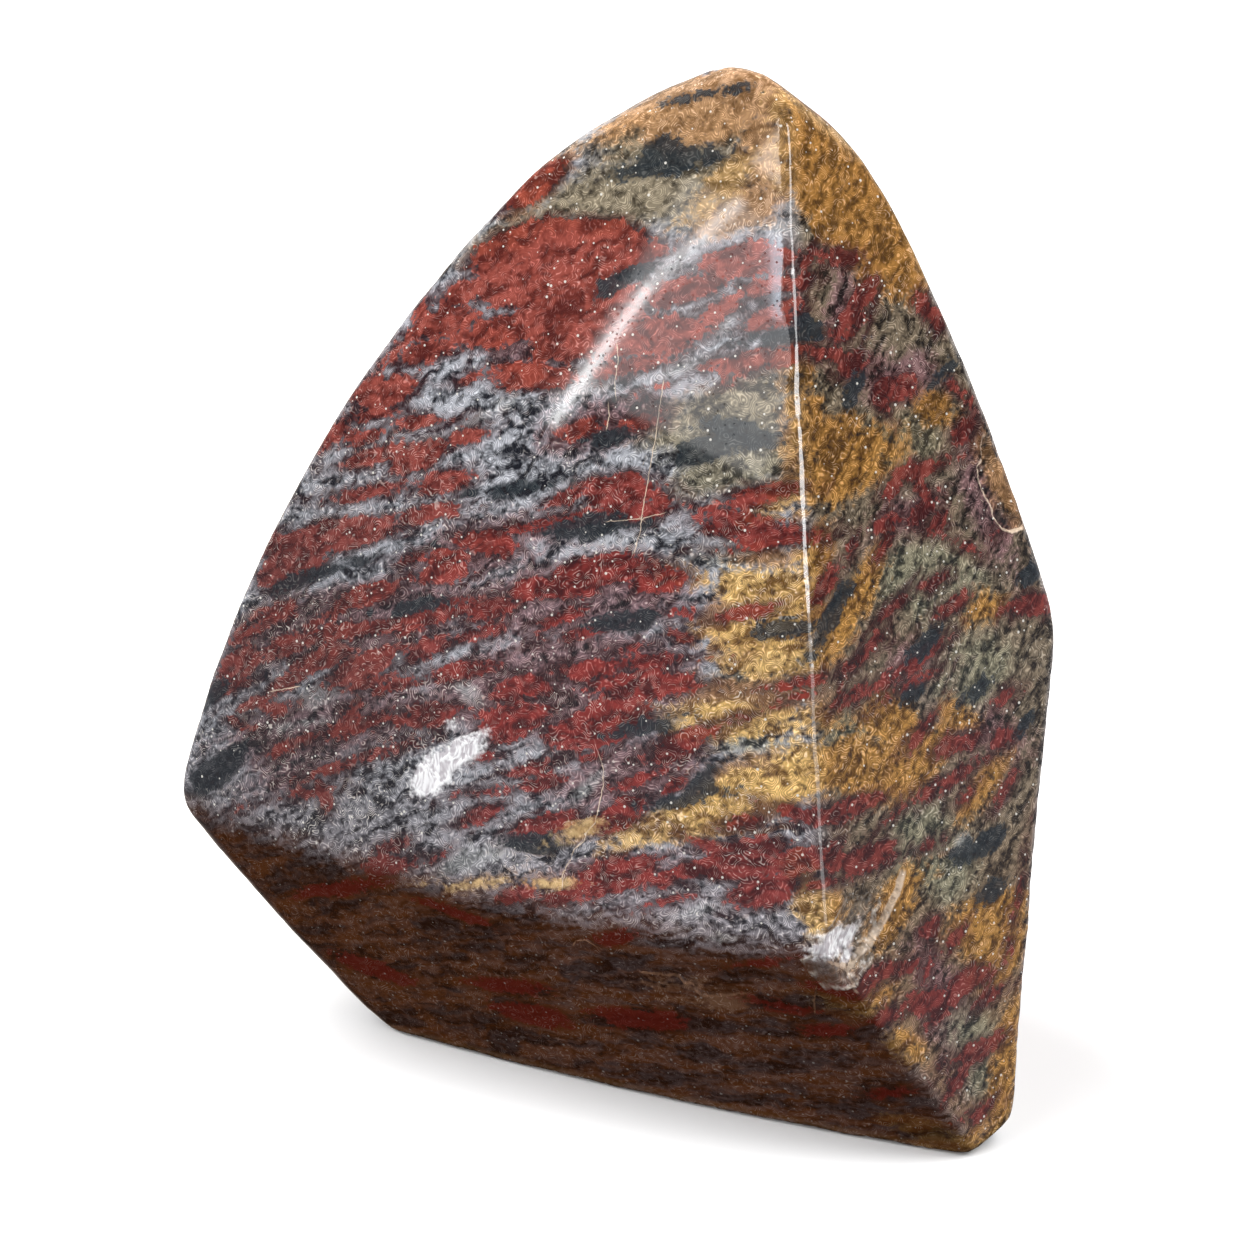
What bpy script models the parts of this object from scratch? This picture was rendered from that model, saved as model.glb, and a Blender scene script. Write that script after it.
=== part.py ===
"""A polished jasper freeform: one stone, ground by hand to a few broad faces that rise from a flat base to a
rounded peak. Lengths and places are in millimetres and are turned into metres when the mesh is written."""

from typing import NamedTuple

import bmesh
import bpy
import numpy as np

MM = 0.001

# The heart is the point inside the stone that every ground face is measured from.
HEART_HEIGHT = 48.0
HEART = np.array([2.88, -0.46, HEART_HEIGHT])

# No part of the stone is further than this from the heart.
FURTHEST = 90.0

# How finely the surface is followed before it is thinned, and how many triangles stay.
OPEN_FACE_EDGE = 2.4
RIDGE_EDGE = 0.7
RIDGE_REACH = 1.4
CHIP_EDGE = 0.5
START_ROUNDS = 4
SPLIT_ROUNDS = 7
KEPT_TRIANGLES = 7600


class Face(NamedTuple):
    """One ground face: a bulging sheet that everything outside it was ground away to."""

    name: str
    bearing: float  # degrees round from the front (-Y), towards +X
    slope: float  # degrees that it looks up from level
    reach: float  # from the heart to the sheet
    bulge: tuple = (300.0, 300.0)  # radius of the bulge across and up; below zero is hollow
    crown: tuple = (0.0, 0.0)  # where the bulge is highest, across and up from the heart's foot
    soft: float = 2.0  # how widely its edges with the faces before it are rounded


class Chip(NamedTuple):
    """One shallow flake lost from a face: a dished oval, deepest towards one side."""

    face: str
    across: float
    up: float
    turn: float  # degrees that its length is turned from across towards up
    length: float
    width: float
    deep: float
    lean: tuple = (0.0, 0.0)  # how much of the depth shifts towards the ends of length and width
    wall: float = 2.0  # how steep its rim is: 2 is a plain dish


FACES = (
    Face("broad", -27.0, 10.8, 18.3, (560.0, 450.0), (-16.0, 2.0)),
    Face("side", 29.4, 13.8, 34.2, (600.0, 600.0), (16.0, 4.0), soft=0.8),
    Face("undercut", -24.8, -20.6, 28.1, (394.0, 895.0), (5.0, -20.0), soft=0.8),
    Face("shoulder", -124.0, 28.4, 41.3, (100.0, 166.0), soft=2.0),
    Face("brow", -60.4, 40.3, 46.8, (200.0, 200.0), soft=0.6),
    Face("crest", 109.7, 50.2, 62.2, (60.0, 385.0), soft=3.0),
    Face("flank", 114.9, 16.5, 41.7, soft=2.0),
    Face("hip", 114.7, -10.8, 38.3, (300.0, -467.0), soft=1.4),
    Face("spine", 178.0, 24.0, 34.0, (140.0, 1200.0), soft=9.0),
    Face("rump", 184.0, -8.0, 34.0, (180.0, 220.0), soft=9.0),
    Face("keel", -105.7, -38.9, 55.4, (400.0, 400.0), soft=4.9),
    Face("heel", -70.3, -61.3, 56.8, (150.0, 150.0), soft=2.8),
    Face("toe", 64.6, -50.9, 66.9, (100.0, 100.0), soft=1.1),
    Face("base", 0.0, -90.0, HEART_HEIGHT, (1.0e9, 1.0e9), soft=0.9),
)

CHIPS = (
    Chip("side", 31.4, 17.0, 98.0, 6.2, 3.6, 0.45, (0.0, 0.9), 4.0),
    Chip("side", 5.4, -28.6, 62.0, 5.6, 3.4, 0.6, (-0.3, -0.3)),
    Chip("broad", 4.0, -12.6, 82.0, 6.4, 3.4, 0.4, (0.0, -0.6)),
    Chip("broad", 0.6, -20.8, 60.0, 3.4, 2.4, 0.35, (0.0, -0.6)),
    Chip("undercut", 18.4, -17.6, -4.0, 8.6, 3.2, 0.5, (0.0, -0.6)),
    Chip("brow", 6.0, 56.0, 80.0, 1.8, 1.2, 0.4),
)

STONE_COLOUR = (0.21, 0.075, 0.055, 1.0)
STONE_ROUGHNESS = 0.2


def clear_scene():
    for thing in list(bpy.data.objects):
        bpy.data.objects.remove(thing, do_unlink=True)


def axes_of(face):
    """The face's outward normal, its level direction and the direction that climbs it."""
    bearing, slope = np.radians(face.bearing), np.radians(face.slope)
    outward = np.array(
        [np.sin(bearing) * np.cos(slope), -np.cos(bearing) * np.cos(slope), np.sin(slope)]
    )
    across = np.array([np.cos(bearing), np.sin(bearing), 0.0])
    climb = np.cross(across, -outward)
    return outward, across, climb


def chip_place(chip, across, up):
    """Places in the chip's own oval, where 1 is its rim, along its length and its width."""
    turn = np.radians(chip.turn)
    x, y = across - chip.across, up - chip.up
    along = (x * np.cos(turn) + y * np.sin(turn)) / chip.length
    aside = (y * np.cos(turn) - x * np.sin(turn)) / chip.width
    return along, aside


def chip_depth(chip, across, up):
    along, aside = chip_place(chip, across, up)
    dish = 1.0 - np.hypot(along, aside) ** chip.wall
    lean = 1.0 + chip.lean[0] * along + chip.lean[1] * aside
    return chip.deep * np.clip(dish, 0.0, None) * np.clip(lean, 0.0, None)


def outside_face(face, points):
    """How far each point lies outside one ground face; below zero is inside it."""
    outward, across_way, climb = axes_of(face)
    from_heart = points - HEART
    across, up = from_heart @ across_way, from_heart @ climb
    x, y = across - face.crown[0], up - face.crown[1]
    distance = from_heart @ outward - face.reach
    distance = distance + x * x / (2.0 * face.bulge[0]) + y * y / (2.0 * face.bulge[1])
    for chip in CHIPS:
        if chip.face == face.name:
            distance = distance + chip_depth(chip, across, up)
    return distance


def rounded_max(first, second, soft):
    """The larger of two distances, with the edge between them rounded."""
    overlap = np.clip(soft - np.abs(first - second), 0.0, None)
    return np.maximum(first, second) + overlap * overlap / (4.0 * soft)


def outside_stone(points):
    distance = outside_face(FACES[0], points)
    for face in FACES[1:]:
        distance = rounded_max(distance, outside_face(face, points), face.soft)
    return distance


def drop_on_surface(points, halvings=24):
    """Each point moved along its line from the heart until it lies on the stone."""
    ray = points - HEART
    ray = ray / np.linalg.norm(ray, axis=1, keepdims=True)
    inner = np.zeros((len(points), 1))
    outer = np.full((len(points), 1), FURTHEST)
    for _ in range(halvings):
        middle = (inner + outer) / 2.0
        is_inside = outside_stone(HEART + middle * ray)[:, None] < 0.0
        inner = np.where(is_inside, middle, inner)
        outer = np.where(is_inside, outer, middle)
    return HEART + outer * ray


def wanted_edge(points):
    """The edge length that the surface needs at each point: short along ridges and in chips."""
    distances = np.stack([outside_face(face, points) for face in FACES])
    highest = np.sort(distances, axis=0)
    wanted = np.full(len(points), OPEN_FACE_EDGE)
    wanted[highest[-1] - highest[-2] < RIDGE_REACH] = RIDGE_EDGE
    names = np.array([face.name for face in FACES])[np.argmax(distances, axis=0)]
    for chip in CHIPS:
        face = next(face for face in FACES if face.name == chip.face)
        _, across_way, climb = axes_of(face)
        place = chip_place(chip, (points - HEART) @ across_way, (points - HEART) @ climb)
        wanted[(names == chip.face) & (np.hypot(*place) < 1.2)] = CHIP_EDGE
    return wanted


def split_long_edges(points, triangles):
    """One round of splitting: every edge longer than the surface wants gets a point at its middle."""
    ends = np.sort(triangles[:, [[0, 1], [1, 2], [2, 0]]].reshape(-1, 2), axis=1)
    edges, index = np.unique(ends, axis=0, return_inverse=True)
    first, second = points[edges[:, 0]], points[edges[:, 1]]
    middle = (first + second) / 2.0
    long = np.linalg.norm(first - second, axis=1) > wanted_edge(middle)
    new_point = np.full(len(edges), -1)
    new_point[long] = len(points) + np.arange(long.sum())
    points = np.concatenate([points, drop_on_surface(middle[long])])
    halves = new_point[index].reshape(-1, 3)

    pieces = []
    for cuts in range(4):
        chosen = (halves >= 0).sum(axis=1) == cuts
        corners, mids = triangles[chosen], halves[chosen]
        # Turn each triangle so that its cut edges come first.
        start = np.argmax(mids >= 0, axis=1)
        if cuts == 2:
            start = (np.argmin(mids, axis=1) + 1) % 3
        order = (start[:, None] + np.arange(3)) % 3
        a, b, c = np.take_along_axis(corners, order, axis=1).T
        ab, bc, ca = np.take_along_axis(mids, order, axis=1).T
        patterns = (
            ((a, b, c),),
            ((a, ab, c), (ab, b, c)),
            ((ab, b, bc), (a, ab, bc), (a, bc, c)),
            ((a, ab, ca), (ab, b, bc), (ca, bc, c), (ab, bc, ca)),
        )
        pieces += [np.stack(piece, axis=1) for piece in patterns[cuts]]
    return points, np.concatenate(pieces)


def stone_surface():
    """The whole surface as points and triangles, fine where it bends."""
    ball = bmesh.new()
    bmesh.ops.create_icosphere(ball, subdivisions=START_ROUNDS, radius=HEART_HEIGHT)
    points = np.array([vertex.co[:] for vertex in ball.verts]) + HEART
    triangles = np.array([[vertex.index for vertex in face.verts] for face in ball.faces])
    ball.free()
    points = drop_on_surface(points)
    for _ in range(SPLIT_ROUNDS):
        points, triangles = split_long_edges(points, triangles)
    return points, triangles


def thinned(mesh):
    """The mesh with its flat stretches left in few triangles and its ridges kept."""
    helper = bpy.data.objects.new("fine_surface", mesh)
    bpy.context.scene.collection.objects.link(helper)
    decimate = helper.modifiers.new("thin", "DECIMATE")
    decimate.ratio = KEPT_TRIANGLES / len(mesh.polygons)
    graph = bpy.context.evaluated_depsgraph_get()
    result = bpy.data.meshes.new_from_object(helper.evaluated_get(graph))
    bpy.data.objects.remove(helper, do_unlink=True)
    return result


def level_base(mesh, within=0.01 * MM):
    """The points that rest on the ground are put exactly on it."""
    for vertex in mesh.vertices:
        if abs(vertex.co.z) < within:
            vertex.co.z = 0.0


def stone_material():
    material = bpy.data.materials.new("polished_jasper")
    material.use_nodes = True
    shader = material.node_tree.nodes["Principled BSDF"]
    shader.inputs["Base Color"].default_value = STONE_COLOUR
    shader.inputs["Roughness"].default_value = STONE_ROUGHNESS
    material.diffuse_color = STONE_COLOUR
    return material


def make_stone():
    points, triangles = stone_surface()
    fine = bpy.data.meshes.new("fine_surface")
    fine.from_pydata((points * MM).tolist(), [], triangles.tolist())
    mesh = thinned(fine)
    mesh.name = "stone"
    level_base(mesh)
    mesh.materials.append(stone_material())
    mesh.shade_smooth()
    mesh.set_sharp_from_angle(angle=np.radians(25.0))
    stone = bpy.data.objects.new("stone", mesh)
    bpy.context.scene.collection.objects.link(stone)
    return stone


def main():
    clear_scene()
    make_stone()


main()
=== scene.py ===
"""The looks of a polished jasper freeform: its fine surface, chips, grain, studio light and camera.
Lengths and places are in millimetres until they reach Blender, which takes metres."""

from typing import NamedTuple

import bmesh
import bpy
import numpy as np
from mathutils import Matrix, Vector


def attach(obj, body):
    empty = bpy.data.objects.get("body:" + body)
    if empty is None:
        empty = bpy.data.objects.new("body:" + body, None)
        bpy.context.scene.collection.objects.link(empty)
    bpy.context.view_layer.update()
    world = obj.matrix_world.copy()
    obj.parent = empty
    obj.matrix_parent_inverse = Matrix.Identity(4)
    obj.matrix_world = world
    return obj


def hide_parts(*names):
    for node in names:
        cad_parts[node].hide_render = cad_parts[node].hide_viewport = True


MM = 0.001

# The heart is the point inside the stone that every ground face is measured from.
HEART_HEIGHT = 48.0
HEART = np.array([2.88, -0.46, HEART_HEIGHT])

# No part of the stone is further than this from the heart.
FURTHEST = 90.0

# The photo's view: a square picture, looking along +Y and down.
PHOTO_SIDE = 1254
LENS = 70.0
SENSOR = 36.0
CAMERA_TARGET = np.array([3.02, -6.46, 54.81])
CAMERA_DISTANCE = 275.0
CAMERA_ELEVATION = 18.0

# How finely the surface is followed.
START_ROUNDS = 5
SPLIT_ROUNDS = 6
SHOWN_FACE_EDGE = 0.75
HIDDEN_FACE_EDGE = 1.5
RIDGE_EDGE = 0.38
RIDGE_REACH = 0.8
CHIP_EDGE = 0.26

# Chips and broken edges are cut only this near to their face's sheet.
CUT_REACH = 4.0

# The lowest value of a patch field, in mm outside the patch.
FIELD_FLOOR = -6.0

# How steeply the banding climbs across two faces, in degrees, where it starts to bend, and how much.
BROAD_BAND_CLIMB = 8.0
SIDE_BAND_CLIMB = 52.0
BEND_START = -25.0
BEND = 0.0029

# How much finer the noise is along, across and through the banding.
BAND_SCALE = (0.24, 0.28, 1.12)

# The polish, the small white spots painted as glints, and the pits.
STONE_IOR = 1.54
POLISH = 0.03
CURL_RINGS = 116.0
GLINT_SPECKS_PER_MM = 1.12
LARGEST_GLINT_SPECK = 0.2
PITS_PER_MM = 1.5
PIT_DEPTH = 0.03

# The floor reaches this far each way, in metres.
FLOOR = 4.0


class Face(NamedTuple):
    """One ground face: a bulging sheet that everything outside it was ground away to."""

    name: str
    bearing: float  # degrees round from the front (-Y), towards +X
    slope: float  # degrees that it looks up from level
    reach: float  # from the heart to the sheet
    bulge: tuple = (300.0, 300.0)  # radius of the bulge across and up; below zero is hollow
    crown: tuple = (0.0, 0.0)  # where the bulge is highest, across and up from the heart's foot
    soft: float = 2.0  # how widely its edges with the faces before it are rounded


class Chip(NamedTuple):
    """One shallow flake lost from a face: a dished oval, deepest towards one side."""

    face: str
    across: float
    up: float
    turn: float  # degrees that its length is turned from across towards up
    length: float
    width: float
    deep: float
    lean: tuple = (0.0, 0.0)  # how much of the depth shifts towards the ends of length and width
    wall: float = 6.0  # how steep its rim is: 2 is a plain dish
    ragged: float = 0.5  # how far its outline wanders


class BrokenEdge(NamedTuple):
    """A line through photo pixels along which the surface broke or cracked, with a drop on one side."""

    face: str
    pixels: tuple
    deep: float = 0.0  # the drop at the line; below zero it is on the line's other side
    reach: float = 4.0  # how far from the line the drop runs out
    width: float = 0.075  # half the width of its pale line


FACES = (
    Face("broad", -27.0, 10.8, 18.3, (560.0, 450.0), (-16.0, 2.0)),
    Face("side", 29.4, 13.8, 34.2, (600.0, 600.0), (16.0, 4.0), soft=0.8),
    Face("undercut", -24.8, -20.6, 28.1, (394.0, 895.0), (5.0, -20.0), soft=0.8),
    Face("shoulder", -124.0, 28.4, 41.3, (100.0, 166.0), soft=2.0),
    Face("brow", -60.4, 40.3, 46.8, (200.0, 200.0), soft=0.6),
    Face("crest", 109.7, 50.2, 62.2, (60.0, 385.0), soft=3.0),
    Face("flank", 114.9, 16.5, 41.7, soft=2.0),
    Face("hip", 114.7, -10.8, 38.3, (300.0, -467.0), soft=1.4),
    Face("spine", 178.0, 24.0, 34.0, (140.0, 1200.0), soft=9.0),
    Face("rump", 184.0, -8.0, 34.0, (180.0, 220.0), soft=9.0),
    Face("keel", -105.7, -38.9, 55.4, (400.0, 400.0), soft=4.9),
    Face("heel", -70.3, -61.3, 56.8, (150.0, 150.0), soft=2.8),
    Face("toe", 64.6, -50.9, 66.9, (100.0, 100.0), soft=1.1),
    Face("base", 0.0, -90.0, HEART_HEIGHT, (1.0e9, 1.0e9), soft=0.9),
)
FACE_NAMED = {face.name: face for face in FACES}
FACE_NAMES = np.array(list(FACE_NAMED))
SHOWN_FACES = ("broad", "side", "undercut", "brow")

CHIPS = (
    Chip("side", 5.4, -28.6, 62.0, 5.6, 3.4, 0.6, (-0.3, -0.3), 5.0, 0.7),
    Chip("brow", 6.0, 56.0, 80.0, 1.8, 1.2, 0.4, wall=3.0, ragged=0.2),
)


# Patches of colour. Each is a lens between two places of the photo, in its pixels, with its width in mm.
RED = (
    (505, 205, 558, 172, 3.2), (478, 268, 560, 240, 6), (520, 235, 645, 238, 4.2), (490, 290, 600, 262, 6.5),
    (560, 262, 668, 250, 3.6), (530, 325, 600, 285, 5.5), (545, 345, 640, 300, 6), (455, 340, 560, 316, 3),
    (440, 300, 480, 285, 2.4), (410, 332, 470, 315, 3), (455, 335, 500, 342, 2), (398, 362, 450, 345, 2.6),
    (490, 374, 560, 378, 2.4), (463, 380, 500, 370, 1.4), (362, 398, 415, 384, 3.2),
    (355, 418, 395, 410, 1.6), (398, 422, 445, 420, 0.9), (345, 442, 378, 430, 1.6),
    (348, 464, 400, 450, 1.3), (398, 466, 442, 448, 2.8), (448, 442, 482, 433, 1.8),
    (425, 484, 470, 476, 2.4), (340, 497, 415, 486, 1.3), (405, 519, 460, 507, 1.2), (412, 318, 430, 302, 2),
    (322, 445, 345, 425, 1.8), (265, 550, 388, 527, 3.6), (262, 578, 320, 556, 4.4), (465, 540, 522, 546, 3),
    (550, 504, 582, 488, 0.9), (598, 492, 656, 488, 4), (606, 516, 670, 506, 2.6), (500, 534, 605, 514, 1.5),
    (720, 502, 788, 490, 2.1), (692, 508, 728, 517, 1.5), (698, 521, 782, 529, 2.4),
    (735, 541, 814, 534, 2.6), (722, 549, 772, 548, 1.1), (560, 433, 602, 425, 1.6),
    (618, 428, 658, 417, 1.6), (552, 580, 642, 567, 3.2), (545, 594, 598, 585, 1.8),
    (632, 585, 692, 578, 2.5), (515, 594, 548, 584, 2), (535, 628, 578, 614, 1.5), (553, 640, 622, 624, 1.1),
    (662, 612, 702, 612, 1.8), (666, 628, 692, 641, 1.6), (610, 652, 662, 642, 1), (710, 622, 750, 611, 0.9),
    (606, 665, 714, 655, 1.8), (548, 674, 622, 664, 2.3), (596, 687, 702, 682, 2.8),
    (498, 694, 552, 680, 2.8), (478, 722, 542, 716, 3), (490, 738, 522, 734, 2), (552, 738, 642, 718, 4.2),
    (600, 706, 628, 704, 1.6), (762, 711, 802, 697, 0.8), (780, 686, 822, 679, 0.9),
    (232, 642, 266, 624, 1.6), (256, 622, 292, 608, 1.6), (268, 652, 302, 641, 2.2),
    (222, 672, 256, 655, 3.4), (214, 692, 250, 680, 1.8), (300, 642, 348, 625, 1.2), (318, 622, 352, 600, 1),
    (343, 602, 402, 587, 2.2), (338, 633, 388, 624, 1.4), (398, 627, 466, 604, 2.2),
    (298, 668, 348, 653, 2.4), (272, 691, 302, 674, 1.6), (326, 683, 398, 654, 2.8),
    (343, 691, 402, 672, 1.5), (398, 660, 452, 640, 2.2), (448, 642, 502, 629, 1.6),
    (463, 614, 512, 604, 2.2), (412, 578, 468, 572, 2.2), (402, 559, 468, 555, 1.2),
    (438, 673, 492, 665, 1.4), (368, 694, 416, 679, 1), (238, 706, 264, 700, 1), (266, 712, 294, 703, 1.1),
    (226, 718, 244, 726, 0.9), (318, 738, 402, 713, 2.2), (343, 718, 362, 703, 2), (398, 720, 458, 711, 2.4),
    (296, 743, 322, 734, 1.3), (264, 757, 292, 744, 1.4), (316, 778, 326, 802, 1.7),
    (310, 776, 392, 749, 1.4), (288, 797, 326, 789, 1.4), (223, 817, 262, 800, 1), (478, 758, 504, 756, 1.3),
    (453, 797, 497, 790, 0.9), (463, 822, 502, 806, 2), (516, 832, 572, 813, 2.2), (508, 774, 542, 765, 1),
    (528, 787, 560, 779, 1.3), (576, 762, 600, 754, 0.8), (616, 788, 658, 773, 1.5),
    (653, 797, 692, 779, 1.4), (645, 757, 704, 736, 2.2), (598, 824, 648, 801, 2.8),
    (368, 868, 418, 860, 1.8), (382, 848, 402, 844, 1.2), (433, 862, 446, 851, 0.9),
    (503, 902, 532, 888, 1.9), (548, 902, 592, 889, 1.3), (578, 893, 654, 868, 2.7),
    (598, 872, 662, 858, 1.8), (646, 887, 722, 860, 2.2), (695, 870, 826, 856, 2.9),
    (728, 848, 792, 846, 1.6), (731, 901, 804, 879, 3.3), (798, 887, 842, 877, 1.2),
    (638, 907, 682, 897, 1.2), (688, 840, 722, 850, 1.3), (732, 824, 768, 818, 1.3),
    (776, 810, 830, 816, 2.1), (704, 264, 790, 257, 3.4), (640, 302, 724, 279, 2.8),
    (598, 347, 702, 328, 4.2), (698, 323, 742, 298, 2.2), (744, 292, 797, 281, 2), (744, 326, 797, 310, 3),
    (698, 374, 764, 356, 2), (768, 359, 800, 352, 1.5), (708, 386, 732, 378, 0.9), (600, 372, 662, 361, 2),
    (648, 391, 692, 377, 0.9), (820, 256, 858, 258, 1.9), (853, 308, 872, 288, 1.6),
    (843, 322, 862, 316, 1.6), (828, 334, 852, 332, 1.6), (800, 350, 862, 362, 1.9), (838, 372, 862, 364, 2),
    (876, 388, 910, 388, 2.6), (876, 392, 886, 412, 1.2), (922, 302, 938, 320, 2.2),
    (950, 382, 970, 402, 1.4), (955, 437, 972, 423, 1.6), (898, 478, 942, 462, 1.5),
    (883, 494, 897, 484, 1.2), (917, 483, 927, 497, 1.2), (912, 522, 936, 498, 2.2),
    (924, 532, 946, 514, 1.8), (868, 530, 898, 519, 1.4), (880, 553, 892, 535, 1), (958, 543, 978, 552, 1.2),
    (988, 542, 1002, 528, 1.5), (848, 563, 856, 543, 0.8), (818, 603, 838, 570, 1.6),
    (923, 587, 942, 577, 1), (876, 624, 902, 600, 0.8), (944, 612, 962, 600, 1.2),
    (1008, 612, 1048, 598, 2.8), (866, 654, 888, 628, 1.4), (843, 668, 882, 648, 1),
    (903, 673, 942, 640, 1.5), (898, 692, 932, 674, 1), (842, 703, 882, 680, 1.7), (912, 743, 938, 708, 1.5),
    (943, 748, 978, 738, 1.8), (998, 703, 1018, 688, 2), (992, 743, 1013, 732, 2), (928, 793, 978, 763, 1.2),
    (1003, 793, 1016, 773, 0.8), (878, 828, 902, 808, 0.8), (958, 803, 972, 788, 1.2),
    (928, 848, 942, 838, 1.2), (832, 868, 892, 848, 3), (830, 813, 882, 799, 1.8),
    (1015, 912, 1024, 862, 0.7), (922, 934, 934, 922, 1.8), (944, 953, 962, 930, 2),
    (902, 972, 918, 963, 1.4), (866, 979, 902, 966, 1.6), (923, 988, 932, 958, 1.2),
    (948, 993, 982, 973, 2.4), (903, 1003, 952, 998, 3), (876, 1024, 908, 1003, 2),
    (928, 1023, 948, 1003, 1.4), (983, 1002, 1002, 988, 1), (948, 1063, 994, 1043, 2.2),
    (940, 1103, 966, 1063, 1.7), (963, 1122, 987, 1107, 1.4), (300, 893, 372, 884, 2.2),
    (335, 955, 405, 978, 3.2), (428, 903, 492, 926, 1.6), (478, 983, 545, 990, 2.4),
    (498, 1008, 562, 1018, 3.6), (598, 1018, 692, 1022, 3.6), (600, 942, 632, 935, 1.4),
    (738, 966, 782, 961, 0.8), (748, 1000, 814, 1011, 2.2), (798, 1030, 856, 1031, 2),
    (816, 985, 862, 992, 1.2), (866, 1096, 912, 1090, 2),
)

OCHRE = (
    (690, 214, 732, 174, 1), (770, 507, 806, 482, 2.2), (752, 602, 814, 612, 4.6), (706, 582, 812, 590, 3),
    (716, 652, 804, 656, 4.2), (714, 632, 794, 632, 1.6), (690, 722, 806, 722, 3), (768, 794, 826, 757, 4.6),
    (640, 832, 742, 808, 3.6), (718, 793, 784, 778, 3), (802, 876, 832, 944, 3.2), (804, 118, 900, 262, 12),
    (845, 160, 900, 262, 8), (804, 378, 818, 472, 2.6), (812, 447, 852, 433, 4.2), (812, 486, 884, 446, 6),
    (810, 566, 820, 536, 1.8), (834, 644, 872, 566, 3), (924, 404, 948, 412, 2.6), (976, 612, 998, 600, 2.4),
    (943, 708, 966, 720, 2), (824, 762, 904, 772, 5), (878, 712, 912, 732, 4.2), (884, 792, 938, 736, 4.4),
    (968, 806, 992, 772, 1.8), (893, 904, 918, 876, 2.6), (880, 932, 908, 902, 2.6),
    (846, 1006, 884, 998, 2), (958, 935, 1016, 905, 5.5), (985, 972, 1012, 942, 4.5),
    (896, 1036, 912, 1050, 1.4), (1000, 1110, 1008, 1040, 3), (900, 1122, 962, 1146, 3),
    (818, 1002, 862, 1000, 1.6),
)

DARK = (
    (612, 178, 704, 152, 1.7), (642, 164, 668, 146, 1.8), (712, 93, 718, 92, 0.1), (624, 278, 656, 262, 0.9),
    (718, 427, 764, 436, 1.9), (668, 458, 724, 444, 2.2), (600, 439, 622, 433, 1), (483, 493, 534, 486, 1.3),
    (548, 531, 624, 524, 1.6), (298, 580, 378, 557, 1.1), (192, 784, 242, 754, 3.2), (598, 623, 658, 619, 2),
    (688, 793, 714, 769, 1.7), (655, 805, 702, 792, 1.2), (634, 732, 664, 724, 1), (518, 841, 550, 845, 1.1),
    (748, 337, 797, 334, 1), (388, 609, 424, 604, 0.8), (768, 633, 808, 627, 1), (206, 704, 220, 688, 1.3),
    (816, 640, 850, 577, 1.5), (803, 320, 820, 332, 1.5), (846, 398, 864, 378, 1.6),
    (938, 378, 958, 358, 0.9), (918, 652, 934, 636, 1.4), (966, 698, 982, 684, 1.4),
    (906, 698, 922, 688, 1.1), (1020, 728, 1032, 712, 1.1), (966, 854, 994, 838, 2.2),
    (982, 898, 1004, 882, 1.8), (1024, 578, 1038, 570, 1.4),
)

OLIVE = (
    (560, 200, 720, 196, 8), (470, 255, 560, 205, 4.5), (660, 440, 800, 396, 9), (680, 482, 804, 452, 6),
    (700, 562, 804, 545, 3), (700, 682, 812, 694, 5), (590, 145, 770, 125, 8), (530, 212, 740, 165, 8),
    (870, 440, 940, 460, 9), (880, 560, 980, 600, 9), (930, 700, 1000, 660, 8), (860, 700, 830, 760, 5),
    (900, 820, 960, 880, 9), (960, 1020, 1000, 1090, 7), (720, 740, 780, 745, 3),
)

PALE = (
    (398, 447, 452, 436, 0.6), (453, 432, 497, 409, 0.9), (296, 726, 328, 719, 0.8),
    (690, 912, 738, 899, 1.4), (712, 940, 732, 938, 1.2), (630, 703, 662, 709, 1.4),
    (718, 328, 736, 313, 1.6), (556, 388, 622, 374, 2), (656, 377, 702, 364, 1.6), (300, 700, 340, 690, 3),
    (440, 870, 500, 850, 3), (960, 840, 975, 850, 2), (780, 236, 790, 300, 1.2), (565, 812, 597, 774, 1.6),
    (462, 690, 478, 700, 2.2),
)

TAN = (
    (590, 138, 700, 84, 5), (650, 112, 784, 92, 10), (752, 104, 778, 180, 6), (720, 215, 776, 205, 3),
    (508, 214, 562, 166, 2.4), (556, 842, 592, 829, 1.3), (536, 880, 560, 886, 1.2),
    (452, 884, 496, 878, 0.9), (645, 982, 690, 984, 1.1), (700, 232, 760, 196, 3.4), (704, 625, 812, 616, 8),
    (692, 696, 815, 700, 5), (690, 806, 815, 776, 8), (730, 560, 806, 556, 3), (786, 380, 800, 520, 2.4),
    (706, 1002, 748, 1001, 1.4), (1016, 1015, 984, 1140, 3.4), (990, 450, 1020, 520, 4),
)

MAUVE = (
    (246, 640, 470, 600, 9), (226, 752, 420, 700, 8), (470, 610, 700, 590, 9), (440, 700, 700, 670, 12),
    (560, 800, 700, 750, 8), (400, 570, 560, 530, 6), (540, 440, 690, 400, 5), (250, 790, 340, 760, 4),
    (560, 880, 700, 860, 4), (860, 380, 930, 380, 6), (870, 560, 940, 480, 6), (960, 440, 1010, 570, 6),
    (900, 660, 1010, 740, 7), (920, 940, 970, 1080, 6), (830, 350, 850, 260, 3), (480, 330, 560, 380, 4),
)

# Thin edges that the light shines through.
CREAM = (
    (564, 838, 594, 824, 1.2), (532, 884, 560, 884, 0.8), (460, 884, 492, 881, 0.4),
)

# The white bruises where the stone was struck.
BRUISE = (
    (420, 790, 446, 760, 4.2), (438, 768, 482, 738, 2.9), (450, 728, 457, 722, 1.2),
    (820, 952, 856, 932, 3.4), (846, 962, 858, 950, 1.4),
)

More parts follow.
